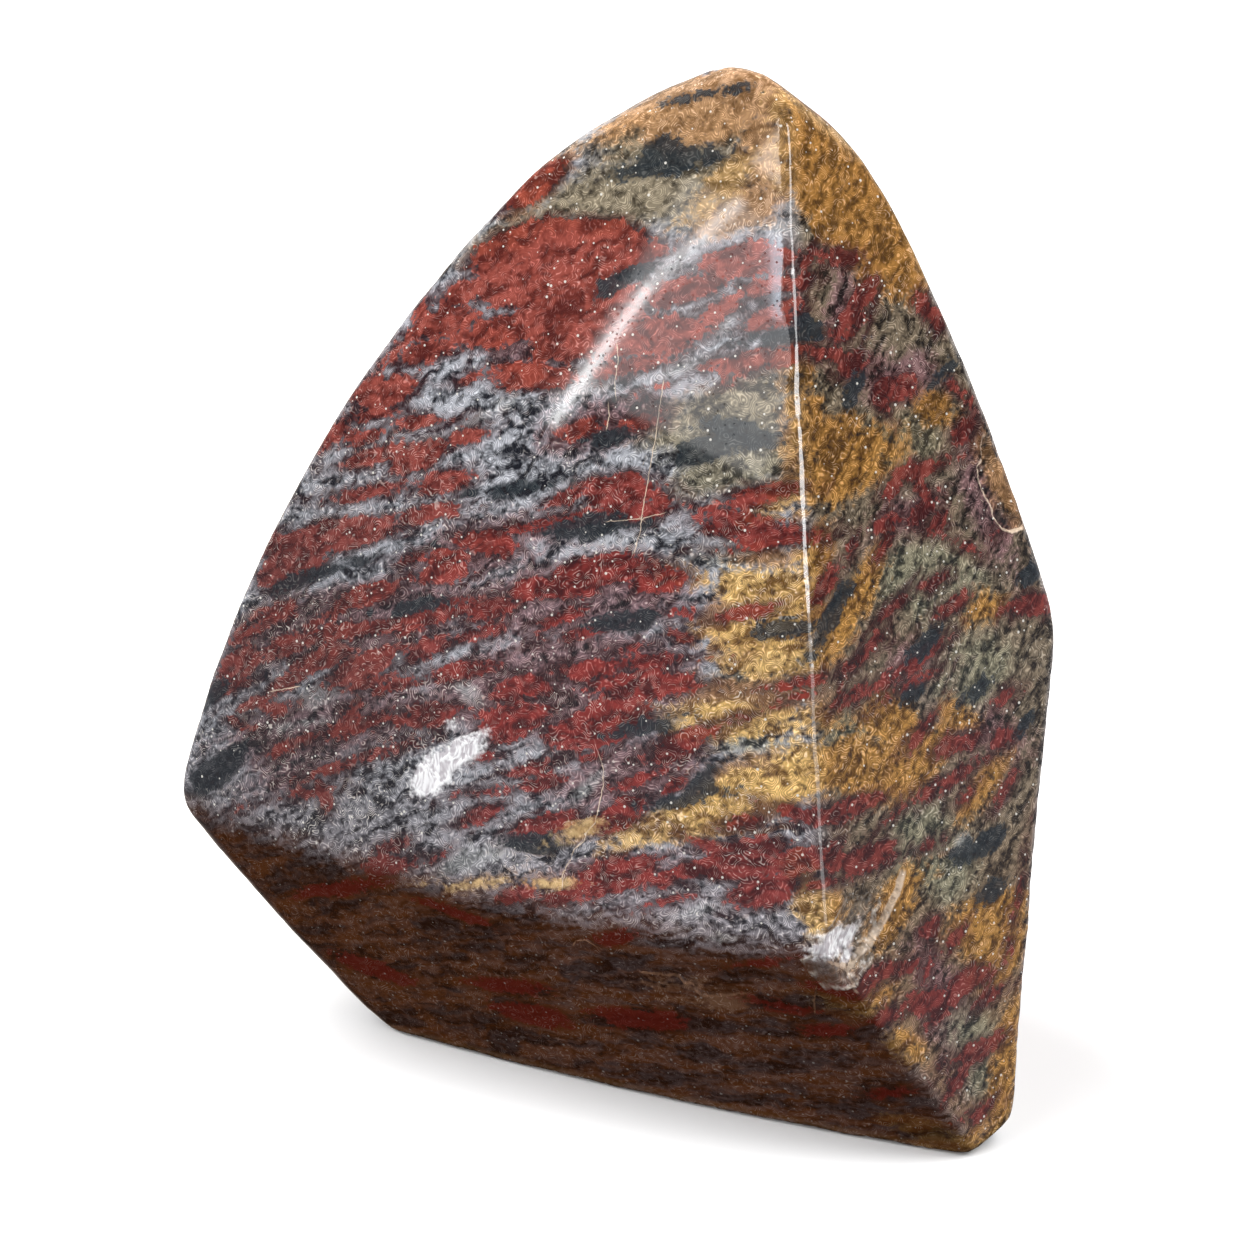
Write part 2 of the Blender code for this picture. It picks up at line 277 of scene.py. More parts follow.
BROKEN_EDGES = (
    BrokenEdge("broad", ((598, 752), (603, 768), (603, 786), (599, 804), (595, 822), (586, 833), (584, 841),
        (574, 849), (570, 860), (563, 872), (562, 890)), -0.28, 6.0, 0.1),
    BrokenEdge("side", ((985, 432), (981, 446), (983, 457), (978, 467), (979, 480), (984, 493), (991, 505),
        (994, 517), (1003, 529), (1012, 532), (1024, 527)), 0.55, 9.0, 0.26),
    BrokenEdge("undercut", ((638, 972), (660, 975), (679, 976), (684, 983), (694, 985), (696, 991),
        (701, 996), (725, 996), (748, 993)), 0.3, 2.5, 0.16),
    BrokenEdge("undercut", ((572, 947), (576, 941), (585, 940), (600, 949)), 0.1, 1.5, 0.1),
    BrokenEdge("undercut", ((817, 984), (814, 1000), (815, 1015)), 0.2, 2.0, 0.12),
    BrokenEdge("side", ((904, 868), (899, 890), (889, 910), (880, 928), (871, 943), (861, 956), (850, 972)),
        -0.4, 5.0, 0.5),
    BrokenEdge("undercut", ((826, 960), (840, 972), (859, 995)), 0.0, 1.0, 0.14),
    BrokenEdge("brow", ((583, 144), (600, 138), (616, 132), (626, 124), (636, 119), (648, 117), (659, 111),
        (680, 100)), -0.25, 3.0, 0.24),
    BrokenEdge("broad", ((617, 341), (618, 360), (615, 382), (616, 402))),
    BrokenEdge("broad", ((608, 400), (609, 416), (606, 432))),
    BrokenEdge("broad", ((664, 378), (660, 404), (655, 440), (648, 480), (643, 508), (640, 533),
        (633, 556))),
    BrokenEdge("broad", ((268, 692), (284, 689), (302, 686)), width=0.08),
    BrokenEdge("broad", ((604, 522), (640, 519), (668, 512)), width=0.06),
)

# Each kind of patch: its places in the photo, and the number, seed and widths in mm of those on other sides.
PATCHES = (
    ("red", RED, 240, 11, (1.6, 5.2)),
    ("ochre", OCHRE, 34, 12, (2.0, 6.0)),
    ("dark", DARK, 40, 13, (0.8, 2.2)),
    ("olive", OLIVE, 26, 14, (4.0, 9.0)),
    ("pale", PALE, 22, 15, (0.8, 2.6)),
    ("tan", TAN, 12, 16, (2.0, 5.0)),
    ("mauve", MAUVE, 60, 17, (5.0, 11.0)),
)

# Each kind of patch: how much its edge wanders, the depths in mm between which it sets in, and its strength.
PATCH_LOOKS = {
    "mauve": (1.6, -1.4, 1.4, 0.85),
    "olive": (1.6, -1.6, 1.6, 0.9),
    "pale": (1.0, -0.5, 0.5, 0.5),
    "tan": (1.6, -1.0, 1.0, 0.9),
    "ochre": (1.6, -1.4, 0.2, 0.9),
    "dark": (1.1, -0.6, -0.06, 0.92),
    "cream": (0.9, -0.4, 0.5, 0.72),
    "bruise": (0.9, -0.4, 0.6, 0.92),
}

# The darker and lighter colour of each kind of stone, from 0 to 255.
SHADES = {
    "grey": ((24, 27, 35), (172, 174, 180)),
    "warm_grey": ((34, 22, 26), (166, 144, 146)),
    "side_grey": ((36, 28, 18), (124, 106, 78)),
    "low_side_grey": ((70, 48, 26), (156, 118, 76)),
    "mauve": ((28, 15, 19), (134, 98, 102)),
    "olive": ((46, 48, 40), (146, 141, 116)),
    "high_olive": ((64, 56, 42), (138, 124, 96)),
    "tan": ((122, 88, 54), (172, 130, 88)),
    "ochre": ((112, 78, 32), (226, 184, 108)),
    "high_ochre": ((112, 84, 44), (178, 142, 90)),
    "side_ochre": ((88, 54, 10), (168, 110, 28)),
    "brick": ((70, 20, 18), (138, 52, 40)),
    "crimson": ((66, 14, 14), (138, 42, 34)),
    "wine": ((56, 18, 20), (118, 48, 44)),
    "high_red": ((82, 28, 22), (148, 62, 46)),
    "black": ((4, 8, 14), (50, 60, 66)),
    # The undercut face's colour: partly its own browner tone, partly painted shade, as that face looks down.
    "brown_and_painted_shade": ((54, 26, 9), (106, 58, 22)),
    "fresh": ((150, 128, 108), (232, 222, 208)),
    "cream": ((176, 126, 66), (255, 226, 164)),
    "bruise": ((196, 190, 194), (255, 255, 255)),
}


def srgb(red, green, blue):
    """A colour as a picture's 0 to 255 values give it, for a shader."""
    value = np.array([red, green, blue]) / 255.0
    linear = np.where(value <= 0.04045, value / 12.92, ((value + 0.055) / 1.055) ** 2.4)
    return (*linear.tolist(), 1.0)


def unit(rows):
    """Each row scaled to a length of 1."""
    return rows / np.linalg.norm(rows, axis=1, keepdims=True)


def waves(points, length, seed, count=20):
    """A smooth wander over the stone, about -1 to 1, whose hills are the given length apart."""
    random = np.random.default_rng(seed)
    ways = unit(random.normal(size=(count, 3)))
    ways *= 2.0 * np.pi / length * random.uniform(0.7, 1.3, (count, 1))
    starts = random.uniform(0.0, 2.0 * np.pi, count)
    return np.sin(points @ ways.T + starts).sum(axis=1) / np.sqrt(count / 2.0) / 1.6


def way_out(bearing, slope):
    """A direction, from degrees round from the front (-Y) towards +X and degrees up from level."""
    bearing, slope = np.radians(bearing), np.radians(slope)
    level = np.cos(slope)
    return np.array([np.sin(bearing) * level, -np.cos(bearing) * level, np.sin(slope)])


def axes_of(face):
    """The face's outward normal, its level direction and the direction that climbs it."""
    outward, across = way_out(face.bearing, face.slope), way_out(face.bearing + 90.0, 0.0)
    return outward, across, np.cross(across, -outward)


def chip_place(chip, across, up):
    """Places in the chip's own oval, where 1 is its rim, along its length and its width."""
    turn = np.radians(chip.turn)
    x, y = across - chip.across, up - chip.up
    along = (x * np.cos(turn) + y * np.sin(turn)) / chip.length
    aside = (y * np.cos(turn) - x * np.sin(turn)) / chip.width
    return along, aside


def chip_depth(chip, across, up):
    """How deep the chip is at each place of its face. Its outline wanders and its floor is rippled."""
    wander = np.stack([across, up, np.zeros(len(across))], axis=1)
    seed = int(abs(chip.across) * 10)
    across = across + chip.ragged * (waves(wander, 3.4, seed) + 0.5 * waves(wander, 1.3, seed + 1))
    up = up + chip.ragged * (waves(wander, 3.4, seed + 2) + 0.5 * waves(wander, 1.3, seed + 3))
    along, aside = chip_place(chip, across, up)
    far = np.hypot(along, aside)
    dish = 1.0 - far**chip.wall
    lean = 1.0 + chip.lean[0] * along + chip.lean[1] * aside
    ripple = 1.0 + 0.06 * np.sin(9.0 * np.hypot(along - 0.6, aside + 0.9) ** 1.4)
    return chip.deep * np.clip(dish, 0.0, None) * np.clip(lean, 0.0, None) * ripple


def face_places(face, points):
    """Distance out of the face's flat sheet, and the place across and up it."""
    outward, across_way, climb = axes_of(face)
    from_heart = points - HEART
    return from_heart @ outward - face.reach, from_heart @ across_way, from_heart @ climb


def chips_at(face, points, across, up, distance):
    """The depth of this face's chips at points that lie near it."""
    depth = np.zeros(len(points))
    for chip in CHIPS:
        if chip.face != face.name:
            continue
        near = (np.hypot(*chip_place(chip, across, up)) < 1.8) & (np.abs(distance) < CUT_REACH)
        if near.any():
            depth[near] += chip_depth(chip, across[near], up[near])
    return depth


def edge_places(across, up, corners, far_off=99.0, past_end=9.0):
    """Signed distance from a line through corners of a face, and how far inside its ends each place is."""
    off, span = np.full(len(across), far_off), np.full(len(across), -far_off)
    steps = np.diff(corners, axis=0)
    lengths = np.hypot(*steps.T)
    starts = np.concatenate([[0.0], np.cumsum(lengths)])
    last = len(lengths) - 1
    for index, (start, step, length) in enumerate(zip(corners, steps, lengths)):
        run_x, run_y = step / length
        x, y = across - start[0], up - start[1]
        along, aside = x * run_x + y * run_y, y * run_x - x * run_y
        far = np.hypot(along - np.clip(along, 0.0, length), aside)
        nearer = far < np.abs(off)
        off[nearer] = np.copysign(far, aside)[nearer]
        low = -past_end if index == 0 else 0.0
        high = length + past_end if index == last else length
        at = starts[index] + np.clip(along, low, high)
        span[nearer] = np.minimum(at, starts[-1] - at)[nearer]
    return off, span


def edge_corners():
    """The corners of every broken edge, as places across and up its face."""
    made = []
    for edge in BROKEN_EDGES:
        _, across, up = face_places(FACE_NAMED[edge.face], photo_places(edge.pixels))
        made.append(np.stack([across, up], axis=1))
    return made


def drops_at(face, across, up, distance):
    """The depth beside this face's broken edges at points that lie near it."""
    depth = np.zeros(len(across))
    for edge, corners in zip(BROKEN_EDGES, EDGE_CORNERS):
        if edge.face != face.name or not edge.deep:
            continue
        low, high = corners.min(axis=0) - edge.reach, corners.max(axis=0) + edge.reach
        near = (across > low[0]) & (across < high[0]) & (up > low[1]) & (up < high[1])
        near &= np.abs(distance) < CUT_REACH
        if not near.any():
            continue
        place = np.stack([across[near], up[near], np.zeros(near.sum())], axis=1)
        wander = 0.12 * waves(place, 1.1, 21, 8)
        off, span = edge_places(across[near] + wander, up[near] - wander, corners)
        off = off * np.sign(edge.deep)
        fade = np.clip(1.0 - off / edge.reach, 0.0, 1.0) ** 2
        inside = np.clip(off / 0.12, 0.0, 1.0) * np.clip(span / 1.5, 0.0, 1.0)
        ripple = 1.0 + 0.12 * np.sin(3.2 * off + 0.8 * waves(place, 4.0, 22, 8))
        depth[near] += abs(edge.deep) * fade * inside * ripple
    return depth


def outside_face(face, points, chipped=True):
    """How far each point lies outside one ground face; below zero is inside it."""
    distance, across, up = face_places(face, points)
    x, y = across - face.crown[0], up - face.crown[1]
    distance = distance + x * x / (2.0 * face.bulge[0]) + y * y / (2.0 * face.bulge[1])
    if not chipped:
        return distance
    return distance + chips_at(face, points, across, up, distance) + drops_at(face, across, up, distance)


def rounded_max(first, second, soft):
    """The larger of two distances, with the edge between them rounded."""
    overlap = np.clip(soft - np.abs(first - second), 0.0, None)
    return np.maximum(first, second) + overlap * overlap / (4.0 * soft)


def outside_stone(points, chipped=True):
    distance = outside_face(FACES[0], points, chipped)
    # The edges were rounded by hand, so their rounding wanders.
    wander = 0.0
    if chipped:
        wander = np.clip(0.22 * waves(points, 9.0, 31, 8) + 0.05 * waves(points, 2.6, 32, 8), -0.4, 0.4)
    for face in FACES[1:]:
        distance = rounded_max(distance, outside_face(face, points, chipped), face.soft + wander)
    return distance


def face_distances(points):
    """How far each point lies outside every ground face before it was chipped: one row for each face."""
    return np.stack([outside_face(face, points, False) for face in FACES])


def drop_on_surface(points, halvings=24):
    """Each point moved along its line from the heart until it lies on the stone."""
    ray = unit(points - HEART)
    inner = np.zeros((len(points), 1))
    outer = np.full((len(points), 1), FURTHEST)
    for _ in range(halvings):
        middle = (inner + outer) / 2.0
        is_inside = outside_stone(HEART + middle * ray)[:, None] < 0.0
        inner = np.where(is_inside, middle, inner)
        outer = np.where(is_inside, outer, middle)
    return HEART + outer * ray


def wanted_edge(points):
    """The edge length that the surface needs at each point: short along ridges and in chips."""
    distances = face_distances(points)
    order, highest = np.argsort(distances, axis=0), np.sort(distances, axis=0)
    top, next_top = FACE_NAMES[order[-1]], FACE_NAMES[order[-2]]
    shown = np.isin(top, SHOWN_FACES)
    ridge = (highest[-1] - highest[-2] < RIDGE_REACH) & shown & np.isin(next_top, SHOWN_FACES)
    wanted = np.where(shown, SHOWN_FACE_EDGE, HIDDEN_FACE_EDGE)
    wanted[ridge] = RIDGE_EDGE
    for chip in CHIPS:
        _, across, up = face_places(FACE_NAMED[chip.face], points)
        wanted[(top == chip.face) & (np.hypot(*chip_place(chip, across, up)) < 1.3)] = CHIP_EDGE
    for edge, corners in zip(BROKEN_EDGES, EDGE_CORNERS):
        _, across, up = face_places(FACE_NAMED[edge.face], points)
        off, span = edge_places(across, up, corners)
        wanted[(top == edge.face) & (np.abs(off) < 0.7) & (span > -0.7)] = CHIP_EDGE
    return wanted


def split_long_edges(points, triangles):
    """One round of splitting: every edge longer than the surface wants gets a point at its middle."""
    ends = np.sort(triangles[:, [[0, 1], [1, 2], [2, 0]]].reshape(-1, 2), axis=1)
    edges, index = np.unique(ends, axis=0, return_inverse=True)
    first, second = points[edges[:, 0]], points[edges[:, 1]]
    middle = (first + second) / 2.0
    long = np.linalg.norm(first - second, axis=1) > wanted_edge(middle)
    new_point = np.full(len(edges), -1)
    new_point[long] = len(points) + np.arange(long.sum())
    points = np.concatenate([points, drop_on_surface(middle[long])])
    halves = new_point[index].reshape(-1, 3)

    pieces = []
    for cuts in range(4):
        chosen = (halves >= 0).sum(axis=1) == cuts
        corners, mids = triangles[chosen], halves[chosen]
        # Turn each triangle so that its cut edges come first.
        start = np.argmax(mids >= 0, axis=1)
        if cuts == 2:
            start = (np.argmin(mids, axis=1) + 1) % 3
        order = (start[:, None] + np.arange(3)) % 3
        a, b, c = np.take_along_axis(corners, order, axis=1).T
        ab, bc, ca = np.take_along_axis(mids, order, axis=1).T
        patterns = (
            ((a, b, c),),
            ((a, ab, c), (ab, b, c)),
            ((ab, b, bc), (a, ab, bc), (a, bc, c)),
            ((a, ab, ca), (ab, b, bc), (ca, bc, c), (ab, bc, ca)),
        )
        pieces += [np.stack(piece, axis=1) for piece in patterns[cuts]]
    return points, np.concatenate(pieces)


def stone_surface():
    """The whole surface as points and triangles, fine where it bends."""
    ball = bmesh.new()
    bmesh.ops.create_icosphere(ball, subdivisions=START_ROUNDS, radius=HEART_HEIGHT)
    points = np.array([vertex.co[:] for vertex in ball.verts]) + HEART
    triangles = np.array([[vertex.index for vertex in face.verts] for face in ball.faces])
    ball.free()
    points = drop_on_surface(points)
    for _ in range(SPLIT_ROUNDS):
        points, triangles = split_long_edges(points, triangles)
    return points, triangles


def normals_at(points, chipped=True, step=0.04):
    """The way out of the stone at each point."""
    slope = np.empty_like(points)
    for axis, way in enumerate(np.eye(3)):
        ahead = outside_stone(points + step * way, chipped)
        slope[:, axis] = ahead - outside_stone(points - step * way, chipped)
    return unit(slope)


def camera_axes():
    """The camera's place, and its ways right, up and forward."""
    tilt = np.radians(CAMERA_ELEVATION)
    forward = np.array([0.0, np.cos(tilt), -np.sin(tilt)])
    right = np.array([1.0, 0.0, 0.0])
    return CAMERA_TARGET - CAMERA_DISTANCE * forward, right, np.cross(right, forward), forward


def photo_places(pixels, steps=60):
    """Where the line of sight through each photo pixel first meets the stone."""
    place, right, up, forward = camera_axes()
    offset = (np.asarray(pixels, float) - PHOTO_SIDE / 2.0) / PHOTO_SIDE * SENSOR / LENS
    ray = unit(forward + offset[:, :1] * right - offset[:, 1:] * up)
    far = np.full(len(ray), CAMERA_DISTANCE - FURTHEST)
    for _ in range(steps):
        far = far + 0.9 * np.clip(outside_stone(place + far[:, None] * ray, False), -1.0, 8.0)
    return place + far[:, None] * ray


def mirror_places(pixels, away):
    """Where a light must be, this far away, for the stone to mirror it at each photo pixel."""
    points = photo_places(pixels)
    normals = normals_at(points, False)
    sight = unit(camera_axes()[0] - points)
    mirrored = 2.0 * (normals * sight).sum(axis=1, keepdims=True) * normals - sight
    return points + away * mirrored


def lens_field(points, first, second, width, outward, thick=9.0):
    """How deep each point is inside a lens between two places, in mm; below zero is outside it."""
    middle, run = (first + second) / 2.0, second - first
    half = np.linalg.norm(run) / 2.0 + 0.2 * width
    run = run / np.linalg.norm(run)
    aside = np.cross(outward, run)
    aside = aside / np.linalg.norm(aside)
    q = points - middle
    along, across = q @ run / half, q @ aside / (width / 2.0)
    into = (q - np.outer(q @ run, run) - np.outer(q @ aside, aside)) / max(thick, half)
    return (1.0 - np.sqrt(along**2 + across**2 + (into**2).sum(axis=1))) * width / 2.0


def patch_field(points, patches):
    """The deepest of many patches at each point."""
    table = np.array(patches)
    first, second = photo_places(table[:, 0:2]), photo_places(table[:, 2:4])
    outward = normals_at((first + second) / 2.0, False)
    field = np.full(len(points), FIELD_FLOOR)
    for start, end, width, way in zip(first, second, table[:, 4], outward):
        field = np.maximum(field, lens_field(points, start, end, width, way))
    return field


def face_share(points, name, blend=1.2):
    """1 on the named face and 0 off it, changing softly over its edges."""
    distances, own = face_distances(points), FACE_NAMES == name
    inside = distances[own].max(axis=0) - distances[~own].max(axis=0)
    return np.clip(inside / blend * 0.5 + 0.5, 0.0, 1.0)


def hidden_share(points, blend=2.0):
    """1 on the sides that the photo doesn't show and 0 on the others."""
    distances, shown = face_distances(points), np.isin(FACE_NAMES, SHOWN_FACES)
    return np.clip((distances[~shown].max(axis=0) - distances[shown].max(axis=0)) / blend, 0.0, 1.0)


def banding(points):
    """Places along, across and through the stone's banding, in mm. The bands dip less towards the ridge."""
    lines = []
    for name, climb in (("broad", BROAD_BAND_CLIMB), ("side", SIDE_BAND_CLIMB)):
        _, across, up = axes_of(FACE_NAMED[name])
        lines.append(across * np.cos(np.radians(climb)) + up * np.sin(np.radians(climb)))
    through = np.cross(*lines)
    through = through / np.linalg.norm(through)
    q = points - HEART
    left = np.clip(q @ axes_of(FACE_NAMED["broad"])[1] + BEND_START, None, 0.0)
    places = [q @ lines[0], q @ np.cross(through, lines[0]), q @ through + BEND * left * left]
    return np.stack(places, axis=1)


def random_patches(points, count, seed, widths):
    """Lenses in the banding, scattered over the sides that the photo doesn't show."""
    random = np.random.default_rng(seed)
    centres = drop_on_surface(HEART + random.normal(size=(count * 3, 3)))
    top = FACE_NAMES[np.argmax(face_distances(centres), axis=0)]
    centres = centres[~np.isin(top, SHOWN_FACES)][:count]
    field = np.full(len(points), FIELD_FLOOR)
    where = banding(points)
    for middle in banding(centres):
        width = random.uniform(*widths)
        stretch = np.array([random.uniform(3.0, 6.0), random.uniform(2.0, 4.0), 1.0]) * width / 2.0
        depth = (1.0 - np.linalg.norm((where - middle) / stretch, axis=1)) * width / 2.0
        field = np.maximum(field, depth)
    return field


def put_field(mesh, name, values):
    kind = "FLOAT" if values.ndim == 1 else "FLOAT_VECTOR"
    layer = mesh.attributes.new(name, kind, "POINT")
    layer.data.foreach_set("value" if values.ndim == 1 else "vector", values.astype(np.float32).ravel())


def fresh_break(points):
    """How much each point lies on a chip's floor, and on the steep step round it, from 0 to 1."""
    depth, slope = np.zeros(len(points)), np.zeros(len(points))
    for face in FACES:
        distance, across, up = face_places(face, points)
        here = chips_at(face, points, across, up, distance)
        east = chips_at(face, points, across + 0.1, up, distance)
        north = chips_at(face, points, across, up + 0.1, distance)
        depth = np.maximum(depth, here)
        slope = np.maximum(slope, np.hypot(east - here, north - here) / 0.1)
    return np.clip(depth / 0.15, 0.0, 1.0), np.clip((slope - 0.4) / 0.6, 0.0, 1.0)


def line_fields(points, band=0.7):
    """Signed distance from the nearest broken edge, how far inside its ends each point is, and its width."""
    off, span = np.full(len(points), band), np.full(len(points), -9.0)
    width = np.full(len(points), 0.1)
    for edge, corners in zip(BROKEN_EDGES, EDGE_CORNERS):
        distance, across, up = face_places(FACE_NAMED[edge.face], points)
        here, inside = edge_places(across, up, corners)
        nearer = (np.abs(here) < np.abs(off)) & (inside > -band) & (np.abs(distance) < CUT_REACH)
        off[nearer], span[nearer], width[nearer] = here[nearer], inside[nearer], edge.width
    return off, span, width


class Shader:
    """Short ways to make and join the nodes of one material."""

    def __init__(self, tree):
        self.tree = tree

    def put(self, socket, value):
        if isinstance(value, bpy.types.NodeSocket):
            self.tree.links.new(value, socket)
        else:
            socket.default_value = value

    def made(self, kind, sockets=(), **settings):
        """The outputs of a new node, whose sockets are given their values by name or number."""
        node = self.tree.nodes.new(kind)
        for name, value in settings.items():
            setattr(node, name, value)
        for socket, value in dict(sockets).items():
            self.put(node.inputs[socket], value)
        return node.outputs

    def math(self, operation, *values):
        return self.made("ShaderNodeMath", dict(enumerate(values)), operation=operation)[0]

    def vectors(self, operation, *values):
        return self.made("ShaderNodeVectorMath", dict(enumerate(values)), operation=operation)[0]

    def add(self, *values):
        total = values[0]
        for value in values[1:]:
            total = self.math("ADD", total, value)
        return total

    def times(self, first, second):
        return self.math("MULTIPLY", first, second)

    def moved(self, where, by, amount):
        """The places pushed about by a colour's three channels."""
        centred = self.vectors("SUBTRACT", by, (0.5, 0.5, 0.5))
        return self.vectors("MULTIPLY_ADD", centred, (amount, amount, amount), where)

    def noise(self, where, scale, detail=3.0, rough=0.55, colour=False):
        sockets = {"Vector": where, "Scale": scale, "Detail": detail, "Roughness": rough}
        return self.made("ShaderNodeTexNoise", sockets)["Color" if colour else "Fac"]

    def cells(self, where, scale):
        """Distance from the middle of the nearest random cell, and that cell's own random colour."""
        outputs = self.made("ShaderNodeTexVoronoi", {"Vector": where, "Scale": scale})
        return outputs["Distance"], outputs["Color"]

    def rise(self, value, low, high, least=0.0, most=1.0):
        """A smooth step between two values."""
        sockets = {"Value": value, "From Min": low, "From Max": high, "To Min": least, "To Max": most}
        return self.made("ShaderNodeMapRange", sockets, interpolation_type="SMOOTHSTEP")[0]

    def mix(self, amount, first, second, blend="MIX"):
        sockets = {"Factor": amount, 6: first, 7: second}
        return self.made("ShaderNodeMix", sockets, data_type="RGBA", blend_type=blend)[2]

    def shades(self, amount, name):
        """From the darker to the lighter colour of one kind of stone."""
        dark, light = SHADES[name]
        return self.mix(amount, srgb(*dark), srgb(*light))

    def field(self, name, vector=False):
        return self.made("ShaderNodeAttribute", attribute_name=name)["Vector" if vector else "Fac"]


class Jasper(Shader):
    """The noises and shares that the layers of the jasper's colour have in common. Lengths are in mm."""

    def __init__(self, tree):
        super().__init__(tree)
        into_mm = (1.0 / MM, 1.0 / MM, 1.0 / MM)
        self.place = self.vectors("MULTIPLY", self.made("ShaderNodeTexCoord")["Object"], into_mm)
        self.swirl = self.noise(self.place, 0.35, 1.0, 0.5, colour=True)
        bands = self.vectors("MULTIPLY", self.field("banding", vector=True), BAND_SCALE)
        bands = self.moved(bands, self.swirl, 2.0)
        self.streaks = self.noise(bands, 0.42, 3.0, 0.62)
        self.tone = self.noise(bands, 1.1, 2.0, 0.62)
        self.grain = self.noise(self.place, 1.4, 2.0, 0.6)
        self.mottle = self.rise(self.add(self.times(self.tone, 0.7), self.times(self.grain, 0.3)), 0.38, 0.62)
        # How far the edges of patches wander: long streaks along the banding, then grain.
        long = self.times(self.math("SUBTRACT", self.streaks, 0.5), 3.4)
        rag = self.add(long, self.times(self.math("SUBTRACT", self.grain, 0.5), 1.9))
        self.share = {}
        for name, (wander, least, most, _) in PATCH_LOOKS.items():
            self.share[name] = self.rise(self.add(self.field(name), self.times(rag, wander)), least, most)
        self.red = self.add(self.field("red"), rag, 0.08)
        self.x, _, self.z = self.made("ShaderNodeSeparateXYZ", {0: self.place})
        self.high, self.low = self.rise(self.z, 66.0, 86.0), self.rise(self.z, 14.0, 44.0, 1.0, 0.0)
        self.on_side, self.under = self.field("on_side"), self.field("under")
        self.open_faces = self.rise(self.under, 0.0, 1.0, 1.0, 0.3)

    def mottled(self, name):
        return self.shades(self.mottle, name)

    def laid(self, name, below, colour):
        """One kind of patch laid over the colour below it."""
        *_, strength = PATCH_LOOKS[name]
        return self.mix(self.times(self.share[name], strength), below, colour)


def ground_colour(s):
    """The grey stone: warmer low down, browner on the side, with mauve, olive, pale, tan and ochre in it."""
    colour = s.mix(s.times(s.low, 0.6), s.mottled("grey"), s.mottled("warm_grey"))
    side = s.mix(s.times(s.low, 0.5), s.mottled("side_grey"), s.mottled("low_side_grey"))
    colour = s.mix(s.times(s.on_side, 0.9), colour, side)
    colour = s.laid("mauve", colour, s.mottled("mauve"))
    olive = s.mix(s.high, s.mottled("olive"), s.mottled("high_olive"))
    colour = s.laid("olive", colour, olive)
    colour = s.laid("pale", colour, srgb(180, 182, 182))
    colour = s.laid("tan", colour, s.mottled("tan"))
    ochre = s.mix(s.high, s.mottled("ochre"), s.mottled("high_ochre"))
    ochre = s.mix(s.times(s.on_side, 0.75), ochre, s.mottled("side_ochre"))
    return s.laid("ochre", colour, ochre)


def with_red(s, colour):
    """Red patches, brick on the left and crimson on the right, with a mauve fringe and a dark line."""
    colour = s.mix(s.times(s.rise(s.red, -1.3, 0.1), 0.38), colour, srgb(104, 52, 50))
    tone = s.rise(s.tone, 0.34, 0.66)
    drift = s.noise(s.place, 0.055, 1.0)
    rightwards = s.add(s.x, s.times(s.z, -0.4), s.times(drift, 16.0))
    red = s.mix(s.rise(rightwards, -38.0, -20.0), s.shades(tone, "brick"), s.shades(tone, "crimson"))
    red = s.mix(s.high, red, s.shades(tone, "high_red"))
    red = s.mix(s.times(s.on_side, 0.75), red, s.shades(tone, "wine"))
    colour = s.mix(s.times(s.rise(s.red, -0.22, 0.22), 0.92), colour, red)
    lining = s.rise(s.math("ABSOLUTE", s.add(s.red, 0.12)), 0.0, 0.34, 0.55, 0.0)
    return s.mix(lining, colour, srgb(26, 18, 22))


def with_dark(s, colour):
    """Near-black seams and spots, a darker lower left, and the undercut face's browner colour, partly its own
    and partly painted shade as that face looks down.
    """
    colour = s.laid("dark", colour, s.shades(s.grain, "black"))
    shade = s.rise(s.add(s.x, s.times(s.z, 0.4)), -16.0, 10.0, 0.4, 0.0)
    colour = s.mix(shade, colour, srgb(14, 8, 10))
    # The undercut face: partly its own browner tone, partly painted shade, made darker because it looks down,
    # away from the light.
    brown_and_painted_shade = s.shades(s.rise(s.streaks, 0.36, 0.64), "brown_and_painted_shade")
    brown_and_painted_shade = s.mix(s.times(s.share["tan"], 0.8), brown_and_painted_shade, srgb(134, 98, 74))
    brown_and_painted_shade = s.mix(s.times(s.rise(s.red, -0.3, 0.5), 0.85), brown_and_painted_shade, srgb(104, 30, 20))
    colour = s.mix(s.times(s.under, 0.88), colour, brown_and_painted_shade)
    rim = s.rise(s.z, 0.2, 1.8, 0.5, 0.0)
    return s.mix(s.times(s.under, rim), colour, srgb(150, 108, 60))


